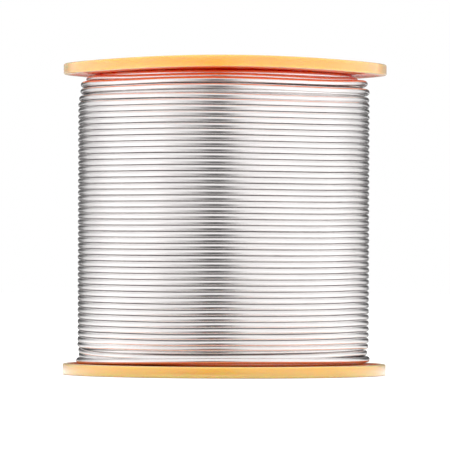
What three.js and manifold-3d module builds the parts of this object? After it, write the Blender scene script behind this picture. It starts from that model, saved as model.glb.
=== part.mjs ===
// A reel of solder wire: two plastic halves pushed together at mid-height, wound full with wire.
// Millimetres, +Z up. The origin is the centre of the face that the reel stands on.

import * as THREE from 'three';
import { mergeVertices } from 'three/addons/utils/BufferGeometryUtils.js';
import Module from 'manifold-3d';

const wasm = await Module();
wasm.setup();

// ---- Driving dimensions ---------------------------------------------------------------------

const REEL_HEIGHT = 53.8;
const CLEARANCE = 0.3; // between pieces that touch

const FLANGE_RADIUS = 28;
const RIM_THICKNESS = 1.9;
const RIM_WIDTH = 1.8;
const RIM_ROUNDING = 0.35;
const FACE_RECESS = 0.6;

const BARREL_RADIUS = 14.3;
const BARREL_WALL = 1.8;
const HUB_RING_RADIUS = 15.5;
const BORE_RADIUS = 8;
const BORE_TUBE_WALL = 1.2;
const BORE_CHAMFER = 0.4;

const RIB_COUNT = 6;
const RIB_THICKNESS = 1.2;
const RIB_RECESS = 1;
const SPIGOT_LENGTH = 3;
const TONGUE_INNER = 10.4;
const TONGUE_WIDTH = 0.8;

const WIRE_DIAMETER = 1;
const FLUX_DIAMETER = 0.36;
const FLUX_HOLE_DIAMETER = 0.46;
const FLUX_DEPTH = 1.2;

const WINDING_RADIUS = 25.2;
const LOOP_COUNT = 24; // each loop stands for about two turns of the wire, side by side
const LOOP_DIAMETER = 1.74;
const STEPS_PER_LOOP = 24;
const LOOP_SIDES = 6;
const SHOULDER_HEIGHT = 6; // below the upper flange the turns step inwards over this height
const SHOULDER_DROP = 1.1;
const TAPER_STEPS = 6;
const DIVE_BEND = LOOP_DIAMETER; // where the lower end turns in to the layer beneath
const DIVE_STEPS = 4;

const SLOT_WIDTH = WIRE_DIAMETER + 2 * CLEARANCE;
const SLOT_ANGLE = THREE.MathUtils.degToRad(75);
const TAIL_RADIUS = 25.6; // where the free end stands up in its slot
const TAIL_BEND = 1.5;
const TAIL_BELOW_FACE = 0.2;

const START_ANGLE = THREE.MathUtils.degToRad(90);
const START_HOLE_RADIUS = 0.9;
const START_DEPTH = 3.2; // of the start hole below the upper face
const START_BEND = 1.3;
const START_BELOW_FACE = 0.6;

const ROUND = 64;
const WIRE_SIDES = 10;

// ---- Worked out -----------------------------------------------------------------------------

const SEAM = (REEL_HEIGHT - CLEARANCE) / 2; // where a half ends, measured from its own face
const LOWER_INNER_FACE = RIM_THICKNESS;
const UPPER_INNER_FACE = REEL_HEIGHT - RIM_THICKNESS;
const BARREL_INSIDE = BARREL_RADIUS - BARREL_WALL;
const BORE_TUBE_RADIUS = BORE_RADIUS + BORE_TUBE_WALL;
const WIRE_RADIUS = WIRE_DIAMETER / 2;
const LOOP_TUBE_RADIUS = LOOP_DIAMETER / 2;
const LOOP_RADIUS = WINDING_RADIUS - LOOP_TUBE_RADIUS;
const LOWEST_LOOP = LOWER_INNER_FACE + CLEARANCE + LOOP_TUBE_RADIUS;
const HIGHEST_LOOP = UPPER_INNER_FACE - CLEARANCE - LOOP_TUBE_RADIUS;
const LOOP_PITCH = (HIGHEST_LOOP - LOWEST_LOOP) / LOOP_COUNT;
const CORE_RADIUS = LOOP_RADIUS * Math.cos(Math.PI / STEPS_PER_LOOP) - LOOP_TUBE_RADIUS - CLEARANCE;
const UP = new THREE.Vector3(0, 0, 1);

/** How far the turns have stepped inwards at a height. */
function shoulder(z) {
  const rise = (z - (UPPER_INNER_FACE - SHOULDER_HEIGHT)) / SHOULDER_HEIGHT;
  return SHOULDER_DROP * THREE.MathUtils.smoothstep(rise, 0, 1);
}

/** Unit vector that points away from the axis at an angle. */
function outward(angle) {
  return new THREE.Vector3(Math.cos(angle), Math.sin(angle), 0);
}

// ---- Solids ---------------------------------------------------------------------------------

/** A ring or disc turned about Z from a closed outline of [radius, height] points. */
function turned(outline) {
  const points = [...outline, outline[0]].map(([radius, z]) => new THREE.Vector2(radius, z));
  return new THREE.LatheGeometry(points, ROUND).rotateX(Math.PI / 2);
}

/** A bar of a width along an angle, from one radius to another and one height to another. */
function bar(angle, inner, outer, width, low, high) {
  const box = new THREE.BoxGeometry(outer - inner, width, high - low);
  box.translate((inner + outer) / 2, 0, (low + high) / 2);
  return box.rotateZ(angle);
}

/** A round pin of a radius from one point to another. */
function pin(from, to, radius, sides = WIRE_SIDES) {
  const along = to.clone().sub(from);
  const turn = new THREE.Quaternion().setFromUnitVectors(
    new THREE.Vector3(0, 1, 0),
    along.clone().normalize(),
  );
  const middle = from.clone().add(to).multiplyScalar(0.5);
  const cylinder = new THREE.CylinderGeometry(radius, radius, along.length(), sides);
  return cylinder.applyQuaternion(turn).translate(middle.x, middle.y, middle.z);
}

/** A closed tube through stations of { point, out, radius }: a ring at each, a flat cap at both ends. */
function tube(stations, sides) {
  const positions = [];
  stations.forEach(({ point, out, radius }, i) => {
    const before = stations[Math.max(i - 1, 0)].point;
    const after = stations[Math.min(i + 1, stations.length - 1)].point;
    const along = after.clone().sub(before).normalize();
    const level = out.clone().addScaledVector(along, -out.dot(along)).normalize();
    const side = new THREE.Vector3().crossVectors(along, level);
    for (let k = 0; k < sides; k += 1) {
      const turn = (2 * Math.PI * k) / sides;
      const spoke = level.clone().multiplyScalar(Math.cos(turn)).addScaledVector(side, Math.sin(turn));
      positions.push(...point.clone().addScaledVector(spoke, radius).toArray());
    }
  });
  const faces = [];
  for (let i = 0; i + 1 < stations.length; i += 1) {
    for (let k = 0; k < sides; k += 1) {
      const next = (k + 1) % sides;
      const [a, b, c, d] = [i * sides + k, i * sides + next, (i + 1) * sides + next, (i + 1) * sides + k];
      faces.push(a, b, c, a, c, d);
    }
  }
  const last = (stations.length - 1) * sides;
  for (let k = 1; k + 1 < sides; k += 1) {
    faces.push(0, k + 1, k, last, last + k, last + k + 1);
  }
  const geometry = new THREE.BufferGeometry();
  geometry.setAttribute('position', new THREE.Float32BufferAttribute(positions, 3));
  geometry.setIndex(faces);
  return geometry;
}

/** A three.js geometry as a solid that can be joined and cut. */
function solid(geometry) {
  const bare = geometry.clone();
  bare.deleteAttribute('normal');
  bare.deleteAttribute('uv');
  const merged = mergeVertices(bare, 1e-4);
  return new wasm.Manifold(
    new wasm.Mesh({
      numProp: 3,
      vertProperties: new Float32Array(merged.attributes.position.array),
      triVerts: new Uint32Array(merged.index.array),
    }),
  );
}

function geometryOf(manifold) {
  const mesh = manifold.getMesh();
  const geometry = new THREE.BufferGeometry();
  geometry.setAttribute('position', new THREE.BufferAttribute(mesh.vertProperties, 3));
  geometry.setIndex(new THREE.BufferAttribute(mesh.triVerts, 1));
  return geometry;
}

function joined(base, ...pieces) {
  return pieces.reduce((whole, piece) => whole.add(solid(piece)), solid(base));
}

function cut(base, ...tools) {
  return tools.reduce((rest, tool) => rest.subtract(solid(tool)), base);
}

// ---- Spool halves, each with its outer face at z = 0 ------------------------------------------

/** Outline of the flange, from the hub ring's outer face round the rim to the foot of the barrel. */
function flangeOutline() {
  const recessEdge = FLANGE_RADIUS - RIM_WIDTH;
  const slant = RIM_ROUNDING * (1 - Math.SQRT1_2);
  return [
    [BARREL_INSIDE, 0],
    [HUB_RING_RADIUS, 0],
    [HUB_RING_RADIUS, FACE_RECESS],
    [recessEdge, FACE_RECESS],
    [recessEdge, 0],
    [FLANGE_RADIUS - RIM_ROUNDING, 0],
    [FLANGE_RADIUS - slant, slant],
    [FLANGE_RADIUS, RIM_ROUNDING],
    [FLANGE_RADIUS, RIM_THICKNESS - RIM_ROUNDING],
    [FLANGE_RADIUS - slant, RIM_THICKNESS - slant],
    [FLANGE_RADIUS - RIM_ROUNDING, RIM_THICKNESS],
    [BARREL_RADIUS, RIM_THICKNESS],
  ];
}

function boreTube() {
  return turned([
    [BORE_RADIUS + BORE_CHAMFER, 0],
    [BORE_TUBE_RADIUS, 0],
    [BORE_TUBE_RADIUS, SEAM],
    [BORE_RADIUS, SEAM],
    [BORE_RADIUS, BORE_CHAMFER],
  ]);
}

function ribs() {
  const overlap = CLEARANCE;
  return Array.from({ length: RIB_COUNT }, (_, i) =>
    bar(
      (2 * Math.PI * i) / RIB_COUNT,
      BORE_TUBE_RADIUS - overlap,
      BARREL_INSIDE + overlap,
      RIB_THICKNESS,
      RIB_RECESS,
      SEAM,
    ),
  );
}

/** A bar on every second rib, which keys one half to the other. */
function keys(grow, low, high) {
  return Array.from({ length: RIB_COUNT / 2 }, (_, i) =>
    bar(
      (4 * Math.PI * i) / RIB_COUNT,
      TONGUE_INNER - grow,
      TONGUE_INNER + TONGUE_WIDTH + grow,
      RIB_THICKNESS + 2 * grow,
      low,
      high,
    ),
  );
}

/** The lower half ends in a spigot, and its keys stand up past the seam. */
function lowerHalf() {
  const spigotRadius = BARREL_RADIUS - (BARREL_WALL - CLEARANCE) / 2 - CLEARANCE;
  const shell = turned([
    ...flangeOutline(),
    [BARREL_RADIUS, SEAM - SPIGOT_LENGTH],
    [spigotRadius, SEAM - SPIGOT_LENGTH],
    [spigotRadius, SEAM],
    [BARREL_INSIDE, SEAM],
  ]);
  return joined(shell, boreTube(), ...ribs(), ...keys(0, SEAM - SPIGOT_LENGTH, SEAM + SPIGOT_LENGTH));
}

/**
 * The upper half ends in a socket and its ribs are notched for the keys. Its rim has the slot for the
 * wire's free end, and the barrel the hole through which the wire starts.
 */
function upperHalf() {
  const socketRadius = BARREL_RADIUS - (BARREL_WALL - CLEARANCE) / 2;
  const shell = turned([
    ...flangeOutline(),
    [BARREL_RADIUS, SEAM + SPIGOT_LENGTH],
    [socketRadius, SEAM + SPIGOT_LENGTH],
    [socketRadius, SEAM],
    [BARREL_INSIDE, SEAM],
  ]);
  const slotAngle = -SLOT_ANGLE; // the half is turned over about X when it is placed
  const slotEnd = outward(slotAngle).multiplyScalar(TAIL_RADIUS);
  const slotFoot = slotEnd.clone().setZ(-1);
  const slotTop = slotEnd.clone().setZ(RIM_THICKNESS + 1);
  const startFrom = outward(-START_ANGLE).multiplyScalar(BORE_TUBE_RADIUS + 1).setZ(START_DEPTH);
  const startTo = outward(-START_ANGLE).multiplyScalar(BARREL_RADIUS + 1).setZ(START_DEPTH);
  return cut(
    joined(shell, boreTube(), ...ribs()),
    ...keys(CLEARANCE, SEAM - SPIGOT_LENGTH - CLEARANCE, SEAM + 1),
    bar(slotAngle, TAIL_RADIUS, FLANGE_RADIUS + 1, SLOT_WIDTH, -1, RIM_THICKNESS + 1),
    pin(slotFoot, slotTop, SLOT_WIDTH / 2, 16),
    pin(startFrom, startTo, START_HOLE_RADIUS, 16),
  );
}

// ---- Wire -------------------------------------------------------------------------------------

/** Where the free end leaves the winding: its tangent there runs straight to the slot. */
const topRadius = LOOP_RADIUS - shoulder(HIGHEST_LOOP);
const tailAngle = SLOT_ANGLE + Math.acos(topRadius / TAIL_RADIUS);
const diveAngle = tailAngle + 2 * Math.PI * LOOP_COUNT;

/** The unit direction in which the wire runs round the reel at an angle. */
function forward(angle) {
  return new THREE.Vector3(-Math.sin(angle), Math.cos(angle), 0);
}

/** The layers under the outer one, as one plain ring with the shoulder and the pocket for the dive. */
function innerLayers() {
  const inside = BARREL_RADIUS + CLEARANCE;
  const low = LOWER_INNER_FACE + CLEARANCE;
  const high = UPPER_INNER_FACE - CLEARANCE;
  const shoulderSteps = 4;
  const outline = [
    [inside, low],
    [CORE_RADIUS, low],
  ];
  for (let i = 0; i <= shoulderSteps; i += 1) {
    const z = high - SHOULDER_HEIGHT * (1 - i / shoulderSteps);
    outline.push([CORE_RADIUS - shoulder(z + CLEARANCE), z]);
  }
  outline.push([inside, high]);
  const pocketFloor = LOOP_RADIUS - DIVE_BEND - LOOP_DIAMETER - CLEARANCE;
  const pocketWidth = LOOP_DIAMETER + 4 * CLEARANCE;
  const pocketTop = LOWEST_LOOP + LOOP_TUBE_RADIUS + CLEARANCE;
  const pocket = bar(0, pocketFloor, WINDING_RADIUS, pocketWidth, low - 1, pocketTop);
  pocket.translate(0, DIVE_BEND, 0).rotateZ(diveAngle);
  return cut(solid(turned(outline)), pocket);
}

/** Stations of the loops, from their upper end down, turning left-handed. */
function loopStations() {
  const stations = [];
  for (let i = 0; i <= LOOP_COUNT * STEPS_PER_LOOP; i += 1) {
    const z = HIGHEST_LOOP - (LOOP_PITCH * i) / STEPS_PER_LOOP;
    const out = outward(tailAngle + (2 * Math.PI * i) / STEPS_PER_LOOP);
    const point = out.clone().multiplyScalar(LOOP_RADIUS - shoulder(z)).setZ(z);
    const share = THREE.MathUtils.smoothstep(i, 0, TAPER_STEPS);
    const radius = THREE.MathUtils.lerp(WIRE_RADIUS, LOOP_TUBE_RADIUS, share);
    stations.push({ point, out, radius });
  }
  return stations;
}

/** Stations of the lower end: a quarter bend inwards, then a straight run of one tube diameter. */
function diveStations() {
  const out = outward(diveAngle);
  const along = forward(diveAngle);
  const centre = out.clone().multiplyScalar(LOOP_RADIUS - DIVE_BEND).setZ(LOWEST_LOOP);
  const radius = LOOP_TUBE_RADIUS;
  const stations = [];
  for (let i = 1; i <= DIVE_STEPS; i += 1) {
    const turn = (Math.PI / 2) * (i / DIVE_STEPS);
    const spoke = out.clone().multiplyScalar(Math.cos(turn)).addScaledVector(along, Math.sin(turn));
    stations.push({ point: centre.clone().addScaledVector(spoke, DIVE_BEND), out: spoke, radius });
  }
  const bendEnd = stations[stations.length - 1].point;
  stations.push({ point: bendEnd.clone().addScaledVector(out, -LOOP_DIAMETER), out: along, radius });
  return stations;
}

/** The outer layer: a straight run at wire size, which the free end carries on, the loops, the dive. */
function outerLayer() {
  const loops = loopStations();
  const top = loops[0];
  const point = top.point.clone().addScaledVector(forward(tailAngle), -WIRE_DIAMETER);
  return tube([{ ...top, point }, ...loops, ...diveStations()], LOOP_SIDES);
}

/** Least distance between points of the tube that lie at least half a loop apart along it. */
function leastGap(geometry) {
  const position = geometry.attributes.position;
  const apart = (STEPS_PER_LOOP / 2) * LOOP_SIDES;
  const a = new THREE.Vector3();
  const b = new THREE.Vector3();
  let least = Infinity;
  for (let i = 0; i < position.count; i += 1) {
    a.fromBufferAttribute(position, i);
    for (let j = i + apart; j < position.count; j += 1) {
      least = Math.min(least, a.distanceToSquared(b.fromBufferAttribute(position, j)));
    }
  }
  return Math.sqrt(least);
}

/** A path that runs from a point along one direction and turns once, by an arc, to straight up. */
function turningUp(from, along, run, bend, top) {
  const arcSteps = 5;
  const centre = from.clone().addScaledVector(along, run - bend).addScaledVector(UP, bend);
  const points = [from];
  for (let i = 0; i <= arcSteps; i += 1) {
    const turn = (Math.PI / 2) * (i / arcSteps);
    const point = centre.clone().addScaledVector(along, bend * Math.sin(turn));
    points.push(point.addScaledVector(UP, -bend * Math.cos(turn)));
  }
  points.push(points[points.length - 1].clone().setZ(top));
  return points;
}

/** A bare end of the wire along a path, with the hole that its flux core leaves at the cut. */
function wireEnd(path, out) {
  const stations = path.map((point) => ({ point, out, radius: WIRE_RADIUS }));
  const body = solid(tube(stations, WIRE_SIDES));
  const top = path[path.length - 1];
  const bottom = top.clone().addScaledVector(UP, -FLUX_DEPTH);
  return cut(body, pin(bottom, top.clone().addScaledVector(UP, 1), FLUX_HOLE_DIAMETER / 2));
}

/** The flux core that fills such a hole, a little short of the cut. */
function fluxCore(top) {
  const gap = (FLUX_HOLE_DIAMETER - FLUX_DIAMETER) / 2;
  const low = top.clone().addScaledVector(UP, gap - FLUX_DEPTH);
  return pin(low, top.clone().addScaledVector(UP, -gap), FLUX_DIAMETER / 2);
}

const freeEndStart = outward(tailAngle)
  .multiplyScalar(topRadius)
  .setZ(HIGHEST_LOOP)
  .addScaledVector(forward(tailAngle), -WIRE_DIAMETER - CLEARANCE);
const slotPoint = outward(SLOT_ANGLE).multiplyScalar(TAIL_RADIUS).setZ(HIGHEST_LOOP);
const freeEndPath = turningUp(
  freeEndStart,
  forward(tailAngle).negate(),
  freeEndStart.distanceTo(slotPoint),
  TAIL_BEND,
  REEL_HEIGHT - TAIL_BELOW_FACE,
);

const startEndPath = turningUp(
  outward(START_ANGLE).multiplyScalar(BARREL_RADIUS).setZ(REEL_HEIGHT - START_DEPTH),
  outward(START_ANGLE).negate(),
  BARREL_RADIUS - (BORE_TUBE_RADIUS + BARREL_INSIDE) / 2,
  START_BEND,
  REEL_HEIGHT - START_BELOW_FACE,
);

// ---- Assembly ---------------------------------------------------------------------------------

const plastic = { color: 0xf79a3c, roughness: 0.32, metalness: 0 };
const tin = { color: 0xc9cbce, roughness: 0.24, metalness: 1 };
const rosin = { color: 0xb9782c, roughness: 0.4, metalness: 0 };

function piece(name, geometry, finish) {
  const material = new THREE.MeshStandardMaterial({ ...finish, flatShading: true });
  const mesh = new THREE.Mesh(geometry, material);
  mesh.name = name;
  return mesh;
}

const spool = new THREE.Group();
const upper = piece('upper_half_spool', geometryOf(upperHalf()), plastic);
upper.rotation.x = Math.PI;
upper.position.z = REEL_HEIGHT;
spool.add(piece('lower_half_spool', geometryOf(lowerHalf()), plastic), upper);

const outer = outerLayer();
console.log(`outer layer: ${LOOP_COUNT} loops, least gap to itself ${leastGap(outer).toFixed(2)} mm`);

const wire = new THREE.Group();
wire.add(
  piece('solder_wire_inner_layers', geometryOf(innerLayers()), tin),
  piece('solder_wire_outer_layer', outer, tin),
  piece('solder_wire_free_end', geometryOf(wireEnd(freeEndPath, outward(tailAngle))), tin),
  piece('solder_wire_start_end', geometryOf(wireEnd(startEndPath, forward(START_ANGLE))), tin),
  piece('flux_core_at_free_end', fluxCore(freeEndPath.at(-1)), rosin),
  piece('flux_core_at_start_end', fluxCore(startEndPath.at(-1)), rosin),
);

const reel = new THREE.Group();
reel.add(spool, wire);

export default reel;
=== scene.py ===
"""A reel of solder wire: two translucent orange mouldings wound full with bright 1 mm wire."""

import bisect
import math
import random

import bmesh
import bpy
from mathutils import Matrix, Vector


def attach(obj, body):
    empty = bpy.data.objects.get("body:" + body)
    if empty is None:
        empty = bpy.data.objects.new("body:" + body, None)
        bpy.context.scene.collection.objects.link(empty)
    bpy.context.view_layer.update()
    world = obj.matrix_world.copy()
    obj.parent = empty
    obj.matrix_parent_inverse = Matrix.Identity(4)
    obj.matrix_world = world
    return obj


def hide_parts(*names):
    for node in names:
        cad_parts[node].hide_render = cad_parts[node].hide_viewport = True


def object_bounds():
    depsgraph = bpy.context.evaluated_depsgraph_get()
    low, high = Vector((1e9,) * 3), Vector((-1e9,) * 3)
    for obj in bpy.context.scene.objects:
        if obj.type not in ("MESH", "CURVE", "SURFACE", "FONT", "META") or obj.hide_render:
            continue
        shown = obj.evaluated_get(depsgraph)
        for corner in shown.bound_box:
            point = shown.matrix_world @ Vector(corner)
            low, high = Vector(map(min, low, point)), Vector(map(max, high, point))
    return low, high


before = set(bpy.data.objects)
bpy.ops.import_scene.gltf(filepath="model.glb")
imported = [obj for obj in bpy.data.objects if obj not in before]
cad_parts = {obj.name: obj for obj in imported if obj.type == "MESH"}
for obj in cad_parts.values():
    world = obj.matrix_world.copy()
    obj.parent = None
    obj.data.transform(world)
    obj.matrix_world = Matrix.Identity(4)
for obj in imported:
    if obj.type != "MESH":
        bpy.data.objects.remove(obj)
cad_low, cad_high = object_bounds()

# Lengths are in millimetres and angles in degrees. MM turns a length into metres.
MM = 0.001

# ---- The spool ----

REEL_HEIGHT = cad_high.z / MM
FLANGE_RADIUS = (cad_high.x - cad_low.x) / 2 / MM
RIM_THICKNESS = 1.9
RIM_WIDTH = 1.8
RIM_ROUNDING = 0.3
FACE_RECESS = 0.6
HUB_RING_RADIUS = 15.5
BARREL_RADIUS = 14.3
BARREL_WALL = 1.8
BORE_RADIUS = 8
BORE_WALL = 1.2
CLEARANCE = 0.3
SPIGOT_LENGTH = 3
RIB_COUNT = 6
RIB_THICKNESS = 1.2
RIB_RECESS = 1
POCKET_STEP = 0.1
POCKET_CORNER = 0.4
KEY_INNER = 10.4
KEY_WIDTH = 0.8
KEY_THICKNESS = 1.1  # a little thinner than the ribs that carry the keys
SLOT_WIDTH = 1.6
SLOT_ANGLE = 75
START_ANGLE = 90
START_HOLE_RADIUS = 0.9
START_DEPTH = 3.2
PIN_MARKS = 6
PIN_MARK_RING = 20.8
PIN_MARK_RADIUS = 1.4
PIN_MARK_DEPTH = 0.06
PIN_MARK_SIDES = 48
FLANGE_WAVES = 3
FLANGE_WAVE = 0.2
BORE_ROUNDING = 0.4
EDGE_ROUNDING = 0.25
HUB_ROUNDING = 0.2
FINE_ROUNDING = 0.15
SEAM_ROUNDING = 0.1
CUT_PAST = 1  # how far a cutting shape reaches past what it cuts
ROUND = 240  # faces round the spool
SHARP = 40  # edges that turn by more than this stay sharp

UPPER_FACE = REEL_HEIGHT - RIM_THICKNESS
LOWER_FACE = RIM_THICKNESS
SEAM = (REEL_HEIGHT - CLEARANCE) / 2
BARREL_INSIDE = BARREL_RADIUS - BARREL_WALL
BORE_TUBE_RADIUS = BORE_RADIUS + BORE_WALL

# ---- The wire ----

WIRE_RADIUS = 0.5
WIRE_SIDES = 12
WIRE_SHARP = 60
PITCH = 1.015
WINDING_RADIUS = 24.77
WINDING_SHIFT = -0.19  # the winding sits a little to the left of the spool's axis
SHIFT_TURNS = 0.5  # and the free end settles into that over its first half turn
LEAN_TOP = 0.24  # how far the turns rise to the right, at the top and at the bottom
LEAN_BOTTOM = 0.146
FRONT_DIP = 0.3
WOBBLE = 0.012
WOBBLE_SEED = 7
OUTER_STEPS = 90  # points in a turn of the outer layer, and of the one beneath it
UNDER_STEPS = 60

FLUX_HOLE_RADIUS = 0.23
FLUX_DEPTH = 1.2
CUT_BURR = 0.04

TAIL_RADIUS = 25.6
TAIL_BEND = 1.5
TAIL_BELOW_FACE = 0.2
TAIL_DEPTH = 1.17
TAIL_JOIN = 23.34  # where the free end's straight run leaves the winding, as its tangent
TAIL_ANGLE = SLOT_ANGLE + math.degrees(math.acos(TAIL_JOIN / TAIL_RADIUS))
START_BEND = 1.3
START_BELOW_FACE = 0.6

# Places along the wire count turns from the left of the reel: n + 0.25 is at the front, n + 0.5 at the
# right and n + 0.75 at the back. Each key is (turns, radius of the wire's line, depth or height). In
# TOP_KEYS and UNDER_TOP_KEYS that is the depth below the upper flange, and in BOTTOM_KEYS the height
# above the lower one.
TOP_KEYS = (
    ((TAIL_ANGLE - 180) / 360, TAIL_JOIN, TAIL_DEPTH),
    (0.0, 23.5, 0.76),
    (0.16, 23.5, 1.26),
    (0.27, 23.55, 1.13),
    (0.38, 23.4, 1.18),
    (0.5, 22.75, 0.8),
    (0.75, 23.4, 0.98),
    (1.0, 24.33, 1.66),
    (1.12, 24.36, 1.93),
    (1.25, 24.4, 1.81),
    (1.38, 24.42, 1.71),
    (1.5, 24.42, 1.32),
    (1.75, 24.4, 1.95),
    (2.0, 24.42, 2.84),
    (2.14, 24.5, 2.96),
    (2.25, 24.6, 2.9),
    (2.38, 24.7, 2.92),
    (2.5, 24.77, 2.83),
    (2.75, 24.65, 3.35),
    (3.0, 24.63, 4.09),
    (3.14, 24.62, 4.32),
    (3.25, 24.6, 4.51),
    (3.38, 24.55, 4.43),
    (3.5, 24.7, 4.2),
    (3.75, 24.77, 4.5),
)

# Between these turns the outer layer's keys are worked out, at an even pitch.
REGULAR_START = 4
REGULAR_END = 45
REGULAR_DEPTH = 4.93

# The last turns of the outer layer and the first of the one beneath.
BOTTOM_KEYS = (
    (45.0, 24.8, 3.4),
    (45.25, 24.45, 3.05),
    (45.5, 24.72, 3.12),
    (45.75, 24.75, 2.8),
    (46.0, 24.63, 2.44),
    (46.1, 24.5, 1.8),
    (46.25, 24.4, 1.47),
    (46.5, 24.52, 2.0),
    (46.75, 24.6, 1.76),
    (47.0, 24.57, 1.47),
    (47.12, 24.3, 0.8),
    (47.25, 24.2, 0.52),
    (47.5, 24.15, 0.52),
    (47.75, 24.35, 0.52),
    (48.0, 24.98, 0.52),
    (48.12, 25.0, 0.64),
    (48.25, 25.02, 0.95),
    (48.5, 24.94, 0.86),
    (48.75, 23.7, 1.4),
    (49.0, 23.7, 2.15),
    (49.13, 23.85, 2.32),
    (49.25, 23.8, 2.4),
    (49.5, 23.8, 2.72),
    (49.75, 23.84, 2.95),
)

# The second layer goes up at an even pitch between these turns.
UNDER_START = 50
UNDER_END = 93
UNDER_HEIGHT = 3.15
UNDER_RADIUS = 23.85
UNDER_PITCH = 1.0

# The second layer's last turns. The wire then goes down into the third layer.
UNDER_TOP_KEYS = (
    (93.0, 23.75, 3.85),
    (93.25, 23.88, 3.74),
    (93.5, 23.92, 3.45),
    (93.75, 23.7, 3.0),
    (94.0, 23.45, 2.6),
    (94.25, 23.4, 2.42),
    (94.5, 23.45, 1.98),
    (94.75, 22.4, 1.3),
    (95.0, 22.3, 0.7),
    (95.12, 22.7, 0.68),
    (95.25, 22.75, 0.68),
    (95.38, 22.6, 0.72),
    (95.5, 22.0, 0.6),
    (95.62, 21.0, 0.55),
    (95.75, 19.6, 0.6),
    (95.9, 18.0, 1.0),
)

# How the outer layer's turns stray from their keys: (share of a turn from the left, rise of the top
# turns, rise of the bottom turns). It fades out over the turn before WAVE_END.
TURN_WAVE = (
    (0.0, -0.12, -0.10),
    (0.0625, -0.06, -0.17),
    (0.125, -0.08, -0.15),
    (0.1875, 0.0, -0.17),
    (0.25, -0.05, -0.035),
    (0.3125, -0.22, -0.035),
    (0.375, -0.30, 0.0),
    (0.4375, -0.18, 0.08),
    (0.5, -0.12, -0.06),
    (0.75, 0.0, 0.0),
    (1.0, -0.12, -0.10),
)
WAVE_END = 47

# The third layer and those beneath it are one ring. Its beads are the wires along its lower side, its
# outer face, its step and its upper side.
CORE_RADIUS = 22.35  # of the third layer's line
CORE_STEP = 19.4  # within this radius the layers reach the upper flange
CORE_STEP_DEPTH = 1.3
CORE_INSIDE = 14.5
CORE_BEADS = (8, 48, 3, 5)
CORE_SIDES = 120
CORE_SHARP = 50
BEAD_STEP = 30  # degrees between the points of a bead
CORE_MARK_RUN = 0.4  # how the drawn wire's marks are laid on the ring: millimetres in a degree,
CORE_MARK_RATE = 3  # repeats in a millimetre of height
CORE_MARK_REACH = 0.4  # and the share of the wire's girth that one repeat covers
START_IN_CORE = 0.3  # how far the start end reaches into the ring

# ---- Colours, as linear values ----

TIN = (0.93, 0.905, 0.9, 1)
TIN_DULL = (0.80, 0.775, 0.775, 1)
# The rims' paler oranges are a painted glow, and the body's deeper orange is partly painted shade.
PAINTED_GLOW_ORANGE = (1.0, 0.53, 0.12, 1)
PAINTED_GLOW_ORANGE_DEEP = (1.0, 0.47, 0.09, 1)
BODY_ORANGE_WITH_PAINTED_SHADE = (0.88, 0.185, 0.032, 1)
SHEEN_ORANGE = (1.0, 0.86, 0.66, 1)
ROSIN = (0.42, 0.18, 0.035, 1)
ROSIN_PALE = (0.62, 0.36, 0.12, 1)
WHITE = (1, 1, 1, 1)

DYE_DEPTH = 3  # how far light goes in the plastic, and its red, green and blue as shares of that
DYE_REACH = (1.0, 0.30, 0.06)

# ---- Camera ----

IMAGE_SIZE = 450
SENSOR = 36
CAMERA_DISTANCE = 700
EYE_HEIGHT = 17.3
EYE_OFFSET = 0.065
PIXELS_PER_MM = 5.765  # at the reel's axis
HORIZON_ROW = 274.7
CAMERA_ROLL = 0.0036  # radians


def make_camera():
    """The photograph's view. The scale at the axis gives the lens, and the horizon's row the tilt."""
    pixel_focal = PIXELS_PER_MM * CAMERA_DISTANCE
    data = bpy.data.cameras.new("camera")
    data.sensor_width = SENSOR
    data.lens = SENSOR * pixel_focal / IMAGE_SIZE
    camera = bpy.data.objects.new("camera", data)
    bpy.context.scene.collection.objects.link(camera)
    pitch = math.atan((HORIZON_ROW - IMAGE_SIZE / 2) / pixel_focal)
    turn = Matrix.Rotation(math.pi / 2 + pitch, 4, "X") @ Matrix.Rotation(CAMERA_ROLL, 4, "Z")
    place = Vector((EYE_OFFSET, -CAMERA_DISTANCE, EYE_HEIGHT)) * MM
    camera.matrix_world = Matrix.Translation(place) @ turn
    bpy.context.scene.camera = camera


# ---- Materials ----


class Value:
    """A node's output. Arithmetic on it adds Math nodes."""

    def __init__(self, finish, socket):
        self.finish = finish
        self.socket = socket

    def __add__(self, other):
        return self.finish.maths("ADD", self, other)

    def __sub__(self, other):
        return self.finish.maths("SUBTRACT", self, other)

    def __rsub__(self, other):
        return self.finish.maths("SUBTRACT", other, self)

    def __mul__(self, other):
        return self.finish.maths("MULTIPLY", self, other)

    __radd__ = __add__
    __rmul__ = __mul__


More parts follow.
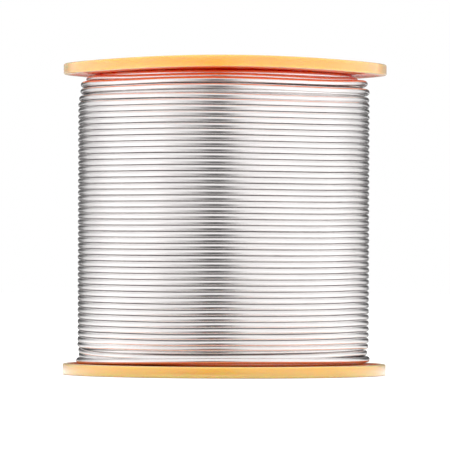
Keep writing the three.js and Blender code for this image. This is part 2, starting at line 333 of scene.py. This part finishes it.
class Finish:
    """A node tree that is being built: a material's or the world's."""

    def __init__(self, owner):
        owner.use_nodes = True
        self.owner = owner
        self.tree = owner.node_tree
        self.tree.nodes.clear()

    def node(self, kind, settings=None, values=None):
        """Adds a node: its settings first, then values or links by socket name or number."""
        made = self.tree.nodes.new(kind)
        for key, value in (settings or {}).items():
            if key == "stops":
                ramp = made.color_ramp
                for place, _ in value[len(ramp.elements) :]:
                    ramp.elements.new(place)
                for element, (place, colour) in zip(ramp.elements, value):
                    element.position = place
                    element.color = colour
            else:
                setattr(made, key, value)
        for key, value in (values or {}).items():
            socket = made.inputs[key] if isinstance(key, int) else self.input_named(made, key)
            if isinstance(value, Value):
                self.tree.links.new(value.socket, socket)
            else:
                socket.default_value = value
        return {output.name: Value(self, output) for output in made.outputs if output.enabled}

    @staticmethod
    def input_named(made, name):
        return next(socket for socket in made.inputs if socket.name == name and socket.enabled)

    def maths(self, operation, *values):
        return self.node("ShaderNodeMath", {"operation": operation}, dict(enumerate(values)))["Value"]

    def length(self, vector):
        return self.node("ShaderNodeVectorMath", {"operation": "LENGTH"}, {0: vector})["Value"]

    def mix(self, factor, a, b):
        """One colour turning into another."""
        values = {"Factor": factor, "A": a, "B": b}
        return self.node("ShaderNodeMix", {"data_type": "RGBA"}, values)["Result"]

    def noise(self, vector, scale, detail=2.0, roughness=0.5):
        values = {"Vector": vector, "Scale": scale, "Detail": detail, "Roughness": roughness}
        return self.node("ShaderNodeTexNoise", {"noise_dimensions": "3D"}, values)["Fac"]

    def grey_ramp(self, value, *stops):
        """A value through a ramp of (place, grey) stops."""
        colours = [(place, (grey, grey, grey, 1)) for place, grey in stops]
        colour = self.node("ShaderNodeValToRGB", {"stops": colours}, {"Fac": value})["Color"]
        return self.node("ShaderNodeRGBToBW", {}, {"Color": colour})["Val"]

    def vector(self, x, y, z):
        return self.node("ShaderNodeCombineXYZ", {}, {"X": x, "Y": y, "Z": z})["Vector"]

    def bump(self, height, strength, distance):
        values = {"Height": height, "Strength": strength, "Distance": distance * MM}
        return self.node("ShaderNodeBump", {}, values)["Normal"]

    def surface(self, shader):
        """Ends a material with its shader, and gives the material."""
        self.node("ShaderNodeOutputMaterial", {}, {"Surface": shader})
        return self.owner

    def principled(self, values):
        return self.node("ShaderNodeBsdfPrincipled", {}, values)["BSDF"]


def bright_tin_wire():
    """Drawn tin alloy: bright, with fine lengthwise die marks and a faint uneven bloom."""
    finish = Finish(bpy.data.materials.new("bright_tin_wire"))
    place = finish.node("ShaderNodeUVMap", {"uv_map": "places"})["UV"]
    parts = finish.node("ShaderNodeSeparateXYZ", {}, {"Vector": place})
    along = parts["X"]
    turn = parts["Y"] * (2 * math.pi)
    round_x = finish.maths("COSINE", turn)
    round_y = finish.maths("SINE", turn)
    die_marks = finish.noise(finish.vector(along * 0.06, round_x * 9.0, round_y * 9.0), 1.0, 3.0, 0.6)
    dents = finish.noise(finish.vector(along * 0.35, round_x * 0.6, round_y * 0.6), 1.0)
    bloom = finish.noise(finish.vector(along * 0.08, round_x * 0.3, round_y * 0.3), 1.0, 3.0, 0.55)
    dull = finish.grey_ramp(bloom, (0.42, 0.0), (0.72, 0.6))
    values = {
        "Base Color": finish.mix(dull, TIN, TIN_DULL),
        "Metallic": 1.0,
        "Roughness": bloom * 0.10 + die_marks * 0.10 + 0.14,
        "Normal": finish.bump(die_marks * 0.5 + dents * 1.6, 0.35, 0.02),
    }
    return finish.surface(finish.principled(values))


def translucent_orange_plastic():
    """Semi-gloss moulded polystyrene, dyed orange right through.

    Their rims are painted a paler orange, a painted glow, and the body within them a deeper orange that
    is partly painted shade."""
    finish = Finish(bpy.data.materials.new("translucent_orange_plastic"))
    place = finish.node("ShaderNodeTexCoord")["Object"]
    level = finish.node("ShaderNodeVectorMath", {"operation": "MULTIPLY"}, {0: place, 1: (1, 1, 0)})
    from_axis = finish.length(level["Vector"])
    # By radius: a painted glow of paler orange at the rims, and deeper orange with painted shade within
    # them. The rims alone also get coat and sheen.
    rim = finish.grey_ramp(from_axis * (1 / (FLANGE_RADIUS * MM)), (0.945, 0.0), (0.985, 1.0))
    flow = finish.noise(place, 90.0)
    grain = finish.noise(place, 1400.0, 3.0, 0.6)
    scuffs = finish.noise(place, 420.0, 4.0, 0.7)
    edge = finish.node("ShaderNodeNewGeometry")["Pointiness"]
    worn = finish.grey_ramp(edge, (0.50, 0.0), (0.62, 1.0))
    painted_glow_colour = finish.mix(flow, PAINTED_GLOW_ORANGE_DEEP, PAINTED_GLOW_ORANGE)
    body_values = {
        "Base Color": finish.mix(rim, BODY_ORANGE_WITH_PAINTED_SHADE, painted_glow_colour),
        "Roughness": flow * 0.05 + scuffs * 0.08 + worn * 0.08 + 0.08,
        "IOR": 1.55,
        "Subsurface Weight": 1.0,
        "Subsurface Radius": DYE_REACH,
        "Subsurface Scale": DYE_DEPTH * MM,
        "Transmission Weight": 0.1,
        "Normal": finish.bump(flow + grain * 0.12, 0.25, 0.05),
    }
    rim_values = {
        **body_values,
        "Coat Weight": 1.0,
        "Coat Roughness": 0.12,
        "Sheen Weight": 0.7,
        "Sheen Roughness": 0.5,
        "Sheen Tint": SHEEN_ORANGE,
    }
    shaders = {0: rim, 1: finish.principled(body_values), 2: finish.principled(rim_values)}
    return finish.surface(finish.node("ShaderNodeMixShader", {}, shaders)["Shader"])


def amber_rosin():
    """Flux core, snapped off at the cut: amber, glassy in places and powdery in others."""
    finish = Finish(bpy.data.materials.new("amber_rosin"))
    place = finish.node("ShaderNodeTexCoord")["Object"]
    crumbs = finish.noise(place, 9000.0, 3.0, 0.6)
    values = {
        "Base Color": finish.mix(crumbs, ROSIN, ROSIN_PALE),
        "Roughness": crumbs * 0.4 + 0.25,
        "Normal": finish.bump(crumbs, 0.6, 0.03),
    }
    return finish.surface(finish.principled(values))


# ---- Meshes ----


def add_mesh(name, points, faces, material, sharp=SHARP, places=None):
    """A piece from points in millimetres. places gives each point's (along, around) on a wire."""
    mesh = bpy.data.meshes.new(name)
    mesh.from_pydata([Vector(point) * MM for point in points], [], faces)
    if places:
        layer = mesh.uv_layers.new(name="places")
        for polygon in mesh.polygons:
            low = min(places[vertex][1] for vertex in polygon.vertices)
            for corner, vertex in zip(polygon.loop_indices, polygon.vertices):
                along, around = places[vertex]
                layer.data[corner].uv = (along, around - (around - low > 0.5))
    shape = bmesh.new()
    shape.from_mesh(mesh)
    bmesh.ops.recalc_face_normals(shape, faces=shape.faces)
    shape.to_mesh(mesh)
    shape.free()
    mesh.shade_smooth()
    mesh.set_sharp_from_angle(angle=math.radians(sharp))
    mesh.materials.append(material)
    piece = bpy.data.objects.new(name, mesh)
    bpy.context.scene.collection.objects.link(piece)
    return piece


def outward(angle, radius=1.0, z=0.0):
    """The point at a radius from the axis. Angle 0 is to the right, and 90 is at the back."""
    turn = math.radians(angle)
    return Vector((radius * math.cos(turn), radius * math.sin(turn), z))


def rounded(corners, steps=5):
    """A closed outline from (x, y, fillet) corners, each fillet as an arc."""
    outline = []
    for i, (x, y, fillet) in enumerate(corners):
        corner = Vector((x, y))
        if fillet == 0:
            outline.append(corner)
            continue
        before = (Vector(corners[i - 1][:2]) - corner).normalized()
        after = (Vector(corners[(i + 1) % len(corners)][:2]) - corner).normalized()
        half = before.angle(after) / 2
        centre = corner + (before + after).normalized() * (fillet / math.sin(half))
        start = corner + before * (fillet / math.tan(half)) - centre
        end = corner + after * (fillet / math.tan(half)) - centre
        outline += [centre + start.slerp(end, k / steps) * fillet for k in range(steps + 1)]
    return outline


def turned(outline, segments=ROUND):
    """Points and faces of a closed (radius, height) outline turned about the axis."""
    n = len(outline)
    points = [outward(360 * i / segments, r, z) for i in range(segments) for r, z in outline]
    faces = []
    for i in range(segments):
        j = (i + 1) % segments
        for k in range(n):
            m = (k + 1) % n
            faces.append((i * n + k, i * n + m, j * n + m, j * n + k))
    return points, faces


def prism(outline, low, high):
    """Points and faces of a closed (x, y) outline raised from one height to another."""
    n = len(outline)
    points = [(x, y, z) for z in (low, high) for x, y in outline]
    sides = [(k, (k + 1) % n, n + (k + 1) % n, n + k) for k in range(n)]
    return points, sides + [tuple(range(n)), tuple(range(n, 2 * n))]


def together(shapes):
    """Several (points, faces) shapes as one."""
    points = []
    faces = []
    for more_points, more_faces in shapes:
        base = len(points)
        points += more_points
        faces += [tuple(vertex + base for vertex in face) for face in more_faces]
    return points, faces


def combine(piece, shape, operation):
    """Cuts a (points, faces) shape out of the piece, or joins it on."""
    tool = add_mesh("tool", *shape, piece.data.materials[0])
    modifier = piece.modifiers.new("shape", "BOOLEAN")
    modifier.object = tool
    modifier.operation = operation
    modifier.solver = "EXACT"
    made = piece.evaluated_get(bpy.context.evaluated_depsgraph_get())
    mesh = bpy.data.meshes.new_from_object(made)
    piece.modifiers.clear()
    piece.data = mesh
    bpy.data.objects.remove(tool)
    mesh.shade_smooth()
    mesh.set_sharp_from_angle(angle=math.radians(SHARP))


def bar(angle, inner, outer, width, low, high):
    """A bar along an angle, from one radius to another."""
    along = outward(angle).to_2d()
    across = Vector((-along.y, along.x)) * (width / 2)
    start = along * inner
    end = along * outer
    return prism([start - across, end - across, end + across, start + across], low, high)


def rod(start, end, radius, sides=32):
    """A round rod between two points."""
    axis = (end - start).normalized()
    across = axis.orthogonal().normalized()
    over = axis.cross(across)
    turns = [2 * math.pi * k / sides for k in range(sides)]
    ring = [across * math.cos(turn) + over * math.sin(turn) for turn in turns]
    points = [place + spoke * radius for place in (start, end) for spoke in ring]
    faces = [(k, (k + 1) % sides, sides + (k + 1) % sides, sides + k) for k in range(sides)]
    return points, faces + [tuple(range(sides)), tuple(range(sides, 2 * sides))]


# ---- The two halves of the spool, each with its outer face at height 0 ----


def half_outline(barrel_end):
    """From the bore's mouth out to the rim, in to the barrel's foot, and up to the seam."""
    edge = FLANGE_RADIUS - RIM_WIDTH
    return rounded(
        [
            (BORE_RADIUS, SEAM, 0),
            (BORE_RADIUS, 0, BORE_ROUNDING),
            (BORE_TUBE_RADIUS, 0, HUB_ROUNDING),
            (BORE_TUBE_RADIUS, RIB_RECESS, FINE_ROUNDING),
            (BARREL_INSIDE, RIB_RECESS, FINE_ROUNDING),
            (BARREL_INSIDE, 0, HUB_ROUNDING),
            (HUB_RING_RADIUS, 0, EDGE_ROUNDING),
            (HUB_RING_RADIUS, FACE_RECESS, HUB_ROUNDING),
            (edge, FACE_RECESS, RIM_ROUNDING),
            (edge, 0, EDGE_ROUNDING),
            (FLANGE_RADIUS, 0, RIM_ROUNDING),
            (FLANGE_RADIUS, RIM_THICKNESS, RIM_ROUNDING),
            (BARREL_RADIUS, RIM_THICKNESS, EDGE_ROUNDING),
            *barrel_end,
        ]
    )


def pocket(middle):
    """The hollow between two ribs, as a prism with rounded corners."""
    arc_steps = 15
    corners = []
    for radius, way in ((BORE_TUBE_RADIUS + POCKET_STEP, 1), (BARREL_INSIDE - POCKET_STEP, -1)):
        reach = 180 / RIB_COUNT - math.degrees(math.asin(RIB_THICKNESS / 2 / radius))
        for k in range(arc_steps + 1):
            angle = middle + way * reach * (1 - 2 * k / arc_steps)
            fillet = POCKET_CORNER if k in (0, arc_steps) else 0
            corners.append((*outward(angle, radius).to_2d(), fillet))
    return prism(rounded(corners), RIB_RECESS - CUT_PAST / 2, SEAM + CUT_PAST)


def keys(grow, low, high):
    """The bars on every second rib that key one half to the other, or larger ones to cut their slots."""
    inner = KEY_INNER - grow
    outer = KEY_INNER + KEY_WIDTH + grow
    width = KEY_THICKNESS + 2 * grow
    angles = [720 * i / RIB_COUNT for i in range(RIB_COUNT // 2)]
    return together([bar(angle, inner, outer, width, low, high) for angle in angles])


def pin_marks():
    """The shallow round marks that the mould's ejector pins leave in the flange's face."""
    marks = []
    for i in range(PIN_MARKS):
        angle = 360 * (i + 0.5) / PIN_MARKS
        foot = outward(angle, PIN_MARK_RING, FACE_RECESS - CUT_PAST)
        head = outward(angle, PIN_MARK_RING, FACE_RECESS + PIN_MARK_DEPTH)
        marks.append(rod(foot, head, PIN_MARK_RADIUS, PIN_MARK_SIDES))
    return together(marks)


def make_half(name, barrel_end, plastic):
    """What both halves share. barrel_end is the outline's last corners, up to the seam."""
    half = add_mesh(name, *turned(half_outline(barrel_end)), plastic)
    pockets = [pocket(360 * (i + 0.5) / RIB_COUNT) for i in range(RIB_COUNT)]
    combine(half, together(pockets), "DIFFERENCE")
    combine(half, pin_marks(), "DIFFERENCE")
    return half


def make_lower_half(plastic):
    spigot = BARREL_RADIUS - (BARREL_WALL - CLEARANCE) / 2 - CLEARANCE
    barrel_end = [
        (BARREL_RADIUS, SEAM - SPIGOT_LENGTH, SEAM_ROUNDING),
        (spigot, SEAM - SPIGOT_LENGTH, 0),
        (spigot, SEAM, FINE_ROUNDING),
    ]
    half = make_half("spool_lower_half", barrel_end, plastic)
    combine(half, keys(0, SEAM - SPIGOT_LENGTH, SEAM + SPIGOT_LENGTH), "UNION")
    return half


def make_upper_half(plastic):
    """Made like the lower half, with a socket, the slot and the start end's hole, then turned over."""
    socket = BARREL_RADIUS - (BARREL_WALL - CLEARANCE) / 2
    barrel_end = [
        (BARREL_RADIUS, SEAM + SPIGOT_LENGTH, SEAM_ROUNDING),
        (socket, SEAM + SPIGOT_LENGTH, 0),
        (socket, SEAM, 0),
    ]
    half = make_half("spool_upper_half", barrel_end, plastic)
    combine(half, keys(CLEARANCE, SEAM - SPIGOT_LENGTH - CLEARANCE, SEAM + CUT_PAST), "DIFFERENCE")
    low = -CUT_PAST
    high = RIM_THICKNESS + CUT_PAST
    slot = bar(-SLOT_ANGLE, TAIL_RADIUS, FLANGE_RADIUS + CUT_PAST, SLOT_WIDTH, low, high)
    combine(half, slot, "DIFFERENCE")
    slot_foot = outward(-SLOT_ANGLE, TAIL_RADIUS, low)
    slot_top = outward(-SLOT_ANGLE, TAIL_RADIUS, high)
    combine(half, rod(slot_foot, slot_top, SLOT_WIDTH / 2), "DIFFERENCE")
    hole_from = outward(-START_ANGLE, BORE_TUBE_RADIUS + CUT_PAST, START_DEPTH)
    hole_to = outward(-START_ANGLE, BARREL_RADIUS + CUT_PAST, START_DEPTH)
    combine(half, rod(hole_from, hole_to, START_HOLE_RADIUS), "DIFFERENCE")
    turn_over = Matrix.Translation((0, 0, REEL_HEIGHT * MM)) @ Matrix.Rotation(math.pi, 4, "X")
    half.data.transform(turn_over)
    warp(half)
    return half


def warp(half):
    """Shallow waves round the flange, as the mould's cooling and the winding's push leave it."""
    for vertex in half.data.vertices:
        place = vertex.co / MM
        share = (place.xy.length - HUB_RING_RADIUS) / (FLANGE_RADIUS - HUB_RING_RADIUS)
        turn = math.atan2(place.x, -place.y)
        vertex.co.z += FLANGE_WAVE * MM * max(share, 0) * math.cos(FLANGE_WAVES * turn)


# ---- Winding the wire ----


def winding_keys():
    """Keys (turns, radius, height) along the whole outer and second layer, as one wire."""
    loose = random.Random(WOBBLE_SEED)
    knots = [(turns, radius, UPPER_FACE - depth) for turns, radius, depth in TOP_KEYS]
    count = 4 * (REGULAR_END - REGULAR_START)
    for i in range(count):
        turns = REGULAR_START + i / 4
        lean = LEAN_TOP + (LEAN_BOTTOM - LEAN_TOP) * i / count
        rise = (-lean, -FRONT_DIP, lean, 0)[i % 4]
        z = UPPER_FACE - REGULAR_DEPTH - PITCH * (turns - REGULAR_START) + rise
        radius = WINDING_RADIUS + loose.uniform(-WOBBLE, WOBBLE)
        knots.append((turns, radius, z + loose.uniform(-WOBBLE, WOBBLE)))
    knots += [(turns, radius, LOWER_FACE + height) for turns, radius, height in BOTTOM_KEYS]
    for i in range(4 * (UNDER_END - UNDER_START)):
        turns = UNDER_START + i / 4
        z = LOWER_FACE + UNDER_HEIGHT + UNDER_PITCH * (turns - UNDER_START)
        knots.append((turns, UNDER_RADIUS, z))
    knots += [(turns, radius, UPPER_FACE - depth) for turns, radius, depth in UNDER_TOP_KEYS]
    return knots


def through(knots, starts, turns):
    """The radius and height at a place between keys, on a smooth curve through them."""
    i = min(bisect.bisect_right(starts, turns), len(knots) - 1) - 1

    def slope(k, part):
        a = knots[max(k - 1, 0)]
        b = knots[min(k + 1, len(knots) - 1)]
        return (b[part] - a[part]) / (b[0] - a[0])

    start = knots[i]
    end = knots[i + 1]
    span = end[0] - start[0]
    s = (turns - start[0]) / span
    values = []
    for part in (1, 2):
        values.append(
            (2 * s**3 - 3 * s**2 + 1) * start[part]
            + (s**3 - 2 * s**2 + s) * span * slope(i, part)
            + (3 * s**2 - 2 * s**3) * end[part]
            + (s**3 - s**2) * span * slope(i + 1, part)
        )
    return values


def turn_wave(turns):
    """How far the outer layer strays from its keys here, between the top turns' way and the bottom's."""
    top, bottom = through(TURN_WAVE, [share for share, _, _ in TURN_WAVE], turns % 1)
    down = min(max((turns - REGULAR_START) / (REGULAR_END - REGULAR_START), 0), 1)
    return (top + (bottom - top) * down) * min(max(WAVE_END - turns, 0), 1)


def turning_up(start, along, run, bend, top):
    """A path that runs along a direction and turns once, by an arc, to straight up."""
    arc_steps = 10
    up = Vector((0, 0, 1))
    centre = start + along * (run - bend) + up * bend
    path = [start]
    for i in range(arc_steps + 1):
        turn = math.pi / 2 * i / arc_steps
        path.append(centre + along * (bend * math.sin(turn)) - up * (bend * math.cos(turn)))
    path.append(Vector((*path[-1].xy, top)))
    return path


def tube(path, outs):
    """Points, faces and places of the wire along a path. Its first end is cut, its core hollow there."""
    rings = []
    length = 0
    for i, (point, out) in enumerate(zip(path, outs)):
        before = path[max(i - 1, 0)]
        after = path[min(i + 1, len(path) - 1)]
        length += (point - before).length
        rings.append((point, (after - before).normalized(), out, WIRE_RADIUS, length))
    point, along, out, _, _ = rings[0]
    rings[:1] = [
        (point + along * FLUX_DEPTH, along, out, FLUX_HOLE_RADIUS, -2 * FLUX_DEPTH),
        (point, along, out, FLUX_HOLE_RADIUS, -FLUX_DEPTH),
        (point, along, out, WIRE_RADIUS - CUT_BURR, -CUT_BURR),
        (point + along * CUT_BURR, along, out, WIRE_RADIUS, CUT_BURR),
    ]
    points = []
    places = []
    for point, along, out, radius, length in rings:
        level = (out - along * out.dot(along)).normalized()
        side = along.cross(level)
        for k in range(WIRE_SIDES):
            turn = 2 * math.pi * k / WIRE_SIDES
            points.append(point + (level * math.cos(turn) + side * math.sin(turn)) * radius)
            places.append((length, k / WIRE_SIDES))
    faces = []
    for i in range(len(rings) - 1):
        for k in range(WIRE_SIDES):
            a = i * WIRE_SIDES + k
            b = i * WIRE_SIDES + (k + 1) % WIRE_SIDES
            faces.append((a, b, b + WIRE_SIDES, a + WIRE_SIDES))
    faces.append(tuple(range(WIRE_SIDES)))
    faces.append(tuple(range(len(points) - WIRE_SIDES, len(points))))
    return points, faces, places


def make_wound_wire(tin):
    """The free end, the outer layer and the second layer, as the one unbroken wire that they are."""
    knots = winding_keys()
    starts = [knot[0] for knot in knots]
    tail_out = outward(TAIL_ANGLE)
    back = Vector((tail_out.y, -tail_out.x, 0))
    tail_start = outward(TAIL_ANGLE, TAIL_JOIN, UPPER_FACE - TAIL_DEPTH)
    run = (outward(SLOT_ANGLE, TAIL_RADIUS, tail_start.z) - tail_start).length
    tail = turning_up(tail_start, back, run, TAIL_BEND, REEL_HEIGHT - TAIL_BELOW_FACE)
    path = tail[:0:-1]
    outs = [tail_out] * len(path)
    turns = starts[0]
    while turns < starts[-1]:
        radius, z = through(knots, starts, turns)
        angle = 180 + 360 * turns
        settled = min(1, (turns - starts[0]) / SHIFT_TURNS)
        shift = Vector((WINDING_SHIFT * settled, 0, 0))
        path.append(outward(angle, radius, z + turn_wave(turns)) + shift)
        outs.append(outward(angle))
        turns += 1 / (OUTER_STEPS if turns < UNDER_START else UNDER_STEPS)
    points, faces, places = tube(path, outs)
    return add_mesh("wire_outer_and_second_layer", points, faces, tin, WIRE_SHARP, places)


def beads(start, end, count):
    """An outline over a row of wires whose lines stand between two points, bulging to the right."""
    along = (end - start).normalized()
    out = Vector((along.y, -along.x))
    outline = []
    for i in range(count):
        centre = start.lerp(end, i / (count - 1))
        for k in (-2, -1, 0, 1, 2):
            turn = math.radians(BEAD_STEP * k)
            outline.append(centre + (out * math.cos(turn) + along * math.sin(turn)) * WIRE_RADIUS)
    return outline


def make_inner_layers(tin):
    """The third layer and those beneath it, as one ring with a wire's ridges on three sides."""
    low = LOWER_FACE + WIRE_RADIUS
    high = UPPER_FACE - WIRE_RADIUS
    stepped = UPPER_FACE - CORE_STEP_DEPTH - WIRE_RADIUS
    inside = CORE_INSIDE + WIRE_RADIUS
    below, face, step, above = CORE_BEADS
    outline = beads(Vector((inside, low)), Vector((CORE_RADIUS, low)), below)
    outline += beads(Vector((CORE_RADIUS, low)), Vector((CORE_RADIUS, stepped)), face)
    outline += beads(Vector((CORE_RADIUS, stepped)), Vector((CORE_STEP + 2 * WIRE_RADIUS, stepped)), step)
    outline += beads(Vector((CORE_STEP, high)), Vector((inside, high)), above)
    outline += [Vector((CORE_INSIDE, high)), Vector((CORE_INSIDE, low))]
    points, faces = turned(outline, CORE_SIDES)
    places = []
    for point in points:
        along = math.degrees(math.atan2(point.y, point.x)) * CORE_MARK_RUN
        places.append((along, CORE_MARK_RATE * point.z % 1 * CORE_MARK_REACH))
    shift = Vector((WINDING_SHIFT, 0, 0))
    moved = [point + shift for point in points]
    return add_mesh("wire_inner_layers", moved, faces, tin, CORE_SHARP, places)


def make_start_end(tin):
    """The wire's other end, which comes through the barrel and stands up in a pocket."""
    inward = -outward(START_ANGLE)
    begin = CORE_INSIDE + START_IN_CORE
    start = outward(START_ANGLE, begin, REEL_HEIGHT - START_DEPTH)
    run = begin - (BORE_TUBE_RADIUS + BARREL_INSIDE) / 2
    path = turning_up(start, inward, run, START_BEND, REEL_HEIGHT - START_BELOW_FACE)
    points, faces, places = tube(path[::-1], [Vector((1, 0, 0))] * len(path))
    return add_mesh("wire_start_end", points, faces, tin, WIRE_SHARP, places)


# ---- The studio ----

FLOOR_HALF = 3000
FLOOR_DROP = 0.02  # keeps the floor just clear of the reel
FLOOR_ALBEDO = 0.9
FLOOR_GLOW = 0.75
FLOOR_SEEN_ALBEDO = 0.45
AMBIENT = 0.7

# Each softbox's name, place, size and watts. All of them are aimed at the reel's middle.
SOFTBOXES = (
    ("softbox_left", (-880, -450, 360), (600, 500), 4.2),
    ("softbox_right", (880, -450, 340), (600, 500), 4.0),
    ("softbox_above", (0, 150, 900), (700, 700), 5.0),
)

# The cards, as radii and heights about the reel's axis.
CARD_STEPS = 24
RUNNER_NEAR = 30
RUNNER_HEIGHT = 0.5
FRONT_FAR = 1200
FRONT_RISE = 10  # the angle at which the reel sees the front card's upper edge
BACK_RUNNER_FAR = 600
BACK_CARD_RADIUS = 900
BACK_CARD_LOW = 14
BACK_CARD_HIGH = 1300

# Each card's albedo by angle. The front card is at 270 degrees and the back cards are at 90.
FRONT_SHADES = (
    (212, 1.0),
    (219, 0.85),
    (232, 0.66),
    (245, 0.48),
    (253, 0.3),
    (259, 0.06),
    (267, 0.06),
    (274, 0.35),
    (283, 0.75),
    (300, 0.85),
    (330, 1.0),
)
BACK_SHADES = (
    (0, 1.0),
    (20, 0.78),
    (34, 0.66),
    (46, 0.62),
    (56, 0.05),
    (123, 0.05),
    (133, 0.6),
    (146, 0.62),
    (160, 0.78),
    (180, 1.0),
)


def grey(level):
    return (level, level, level, 1)


def seen_directly(finish):
    """1 on camera, glossy and transmission rays, for a white that metal and plastic show too."""
    path = finish.node("ShaderNodeLightPath")
    seen_or_mirrored = finish.maths("MAXIMUM", path["Is Camera Ray"], path["Is Glossy Ray"])
    return finish.maths("MAXIMUM", seen_or_mirrored, path["Is Transmission Ray"])


def light_the_room():
    """A white world, which lights the reel a little less than it looks."""
    world = bpy.data.worlds.new("white_studio")
    bpy.context.scene.world = world
    finish = Finish(world)
    strength = seen_directly(finish) * (1 - AMBIENT) + AMBIENT
    values = {"Color": WHITE, "Strength": strength}
    background = finish.node("ShaderNodeBackground", {}, values)["Background"]
    finish.node("ShaderNodeOutputWorld", {}, {"Surface": background})


def add_floor():
    """A floor that keeps the reel's shadow. It looks white, save beneath the reel, where it would turn
    the hub's inside grey."""
    finish = Finish(bpy.data.materials.new("white_floor"))
    plain = finish.node("ShaderNodeBsdfDiffuse", {}, {"Color": grey(FLOOR_ALBEDO)})["BSDF"]
    pale = finish.node("ShaderNodeBsdfDiffuse", {}, {"Color": grey(FLOOR_SEEN_ALBEDO)})["BSDF"]
    glow = finish.node("ShaderNodeEmission", {}, {"Color": WHITE, "Strength": FLOOR_GLOW})["Emission"]
    seen = finish.node("ShaderNodeAddShader", {}, {0: pale, 1: glow})["Shader"]
    from_axis = finish.length(finish.node("ShaderNodeTexCoord")["Object"])
    beneath = finish.maths("LESS_THAN", from_axis, FLANGE_RADIUS * MM)
    white = seen_directly(finish) * (1 - beneath)
    mixed = finish.node("ShaderNodeMixShader", {}, {0: white, 1: plain, 2: seen})["Shader"]
    corners = ((-1, -1), (1, -1), (1, 1), (-1, 1))
    points = [(x * FLOOR_HALF, y * FLOOR_HALF, -FLOOR_DROP) for x, y in corners]
    floor = add_mesh("floor", points, [(0, 1, 2, 3)], finish.surface(mixed))


def add_card(name, edges, shades):
    """A dark card that only reflections see, as a photographer stands one beside shiny metal.

    edges are its (radius, height) from its near or lower edge to its far or upper one, and shades
    its (angle, albedo) from one side to the other."""
    first = shades[0][0]
    width = shades[-1][0] - first
    finish = Finish(bpy.data.materials.new(name))
    across = finish.node("ShaderNodeUVMap", {"uv_map": "places"})["UV"]
    share = finish.node("ShaderNodeSeparateXYZ", {}, {"Vector": across})["X"]
    shade = finish.grey_ramp(share, *[((angle - first) / width, albedo) for angle, albedo in shades])
    colour = finish.mix(shade, grey(0), grey(1))
    shader = finish.node("ShaderNodeBsdfDiffuse", {}, {"Color": colour})["BSDF"]
    points = []
    places = []
    for radius, height in edges:
        for k in range(CARD_STEPS + 1):
            points.append(outward(first + width * k / CARD_STEPS, radius, height))
            places.append((k / CARD_STEPS, 0))
    faces = []
    for i in range(len(edges) - 1):
        for k in range(CARD_STEPS):
            a = i * (CARD_STEPS + 1) + k
            b = a + CARD_STEPS + 1
            faces.append((a, a + 1, b + 1, b))
    card = add_mesh(name, points, faces, finish.surface(shader), places=places)
    card.visible_camera = False
    card.visible_diffuse = False
    card.visible_transmission = False
    card.visible_shadow = False


def add_front_card():
    """A runner on the floor towards the camera that rises at its far end."""
    rise = FRONT_FAR * math.tan(math.radians(FRONT_RISE))
    edges = ((RUNNER_NEAR, RUNNER_HEIGHT), (FRONT_FAR, RUNNER_HEIGHT), (FRONT_FAR, rise))
    add_card("front_card", edges, FRONT_SHADES)


def add_back_cards():
    """A runner on the floor behind the reel, and a tall card bent round beyond it."""
    runner = ((RUNNER_NEAR, RUNNER_HEIGHT), (BACK_RUNNER_FAR, RUNNER_HEIGHT))
    add_card("back_runner", runner, BACK_SHADES)
    card = ((BACK_CARD_RADIUS, BACK_CARD_LOW), (BACK_CARD_RADIUS, BACK_CARD_HIGH))
    add_card("back_card", card, BACK_SHADES)


def add_softbox(name, place, size, watts):
    """A lamp that lights the reel without showing in its reflections."""
    data = bpy.data.lights.new(name, "AREA")
    data.shape = "RECTANGLE"
    data.size = size[0] * MM
    data.size_y = size[1] * MM
    data.energy = watts
    lamp = bpy.data.objects.new(name, data)
    bpy.context.scene.collection.objects.link(lamp)
    way = (Vector((0, 0, REEL_HEIGHT / 2)) - Vector(place)).normalized()
    turn = way.to_track_quat("-Z", "Y").to_matrix().to_4x4()
    lamp.matrix_world = Matrix.Translation(Vector(place) * MM) @ turn
    lamp.visible_glossy = False
    lamp.visible_transmission = False


# ---- Putting it together ----

make_camera()
light_the_room()
add_floor()
add_front_card()
add_back_cards()
for softbox in SOFTBOXES:
    add_softbox(*softbox)

plastic = translucent_orange_plastic()
tin = bright_tin_wire()
rosin = amber_rosin()

PIECES = (
    (make_lower_half(plastic), "reel_plastic", ["lower_half_spool"]),
    (make_upper_half(plastic), "reel_plastic", ["upper_half_spool"]),
    (make_wound_wire(tin), "solder_wire", ["solder_wire_outer_layer", "solder_wire_free_end"]),
    (make_inner_layers(tin), "solder_wire", ["solder_wire_inner_layers"]),
    (make_start_end(tin), "solder_wire", ["solder_wire_start_end"]),
)
for piece, slot, nodes in PIECES:
    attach(piece, "root")
    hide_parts(*nodes)

for node in ("flux_core_at_free_end", "flux_core_at_start_end"):
    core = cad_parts[node]
    core.data.materials.clear()
    core.data.materials.append(rosin)

bpy.context.scene.view_settings.view_transform = "Standard"
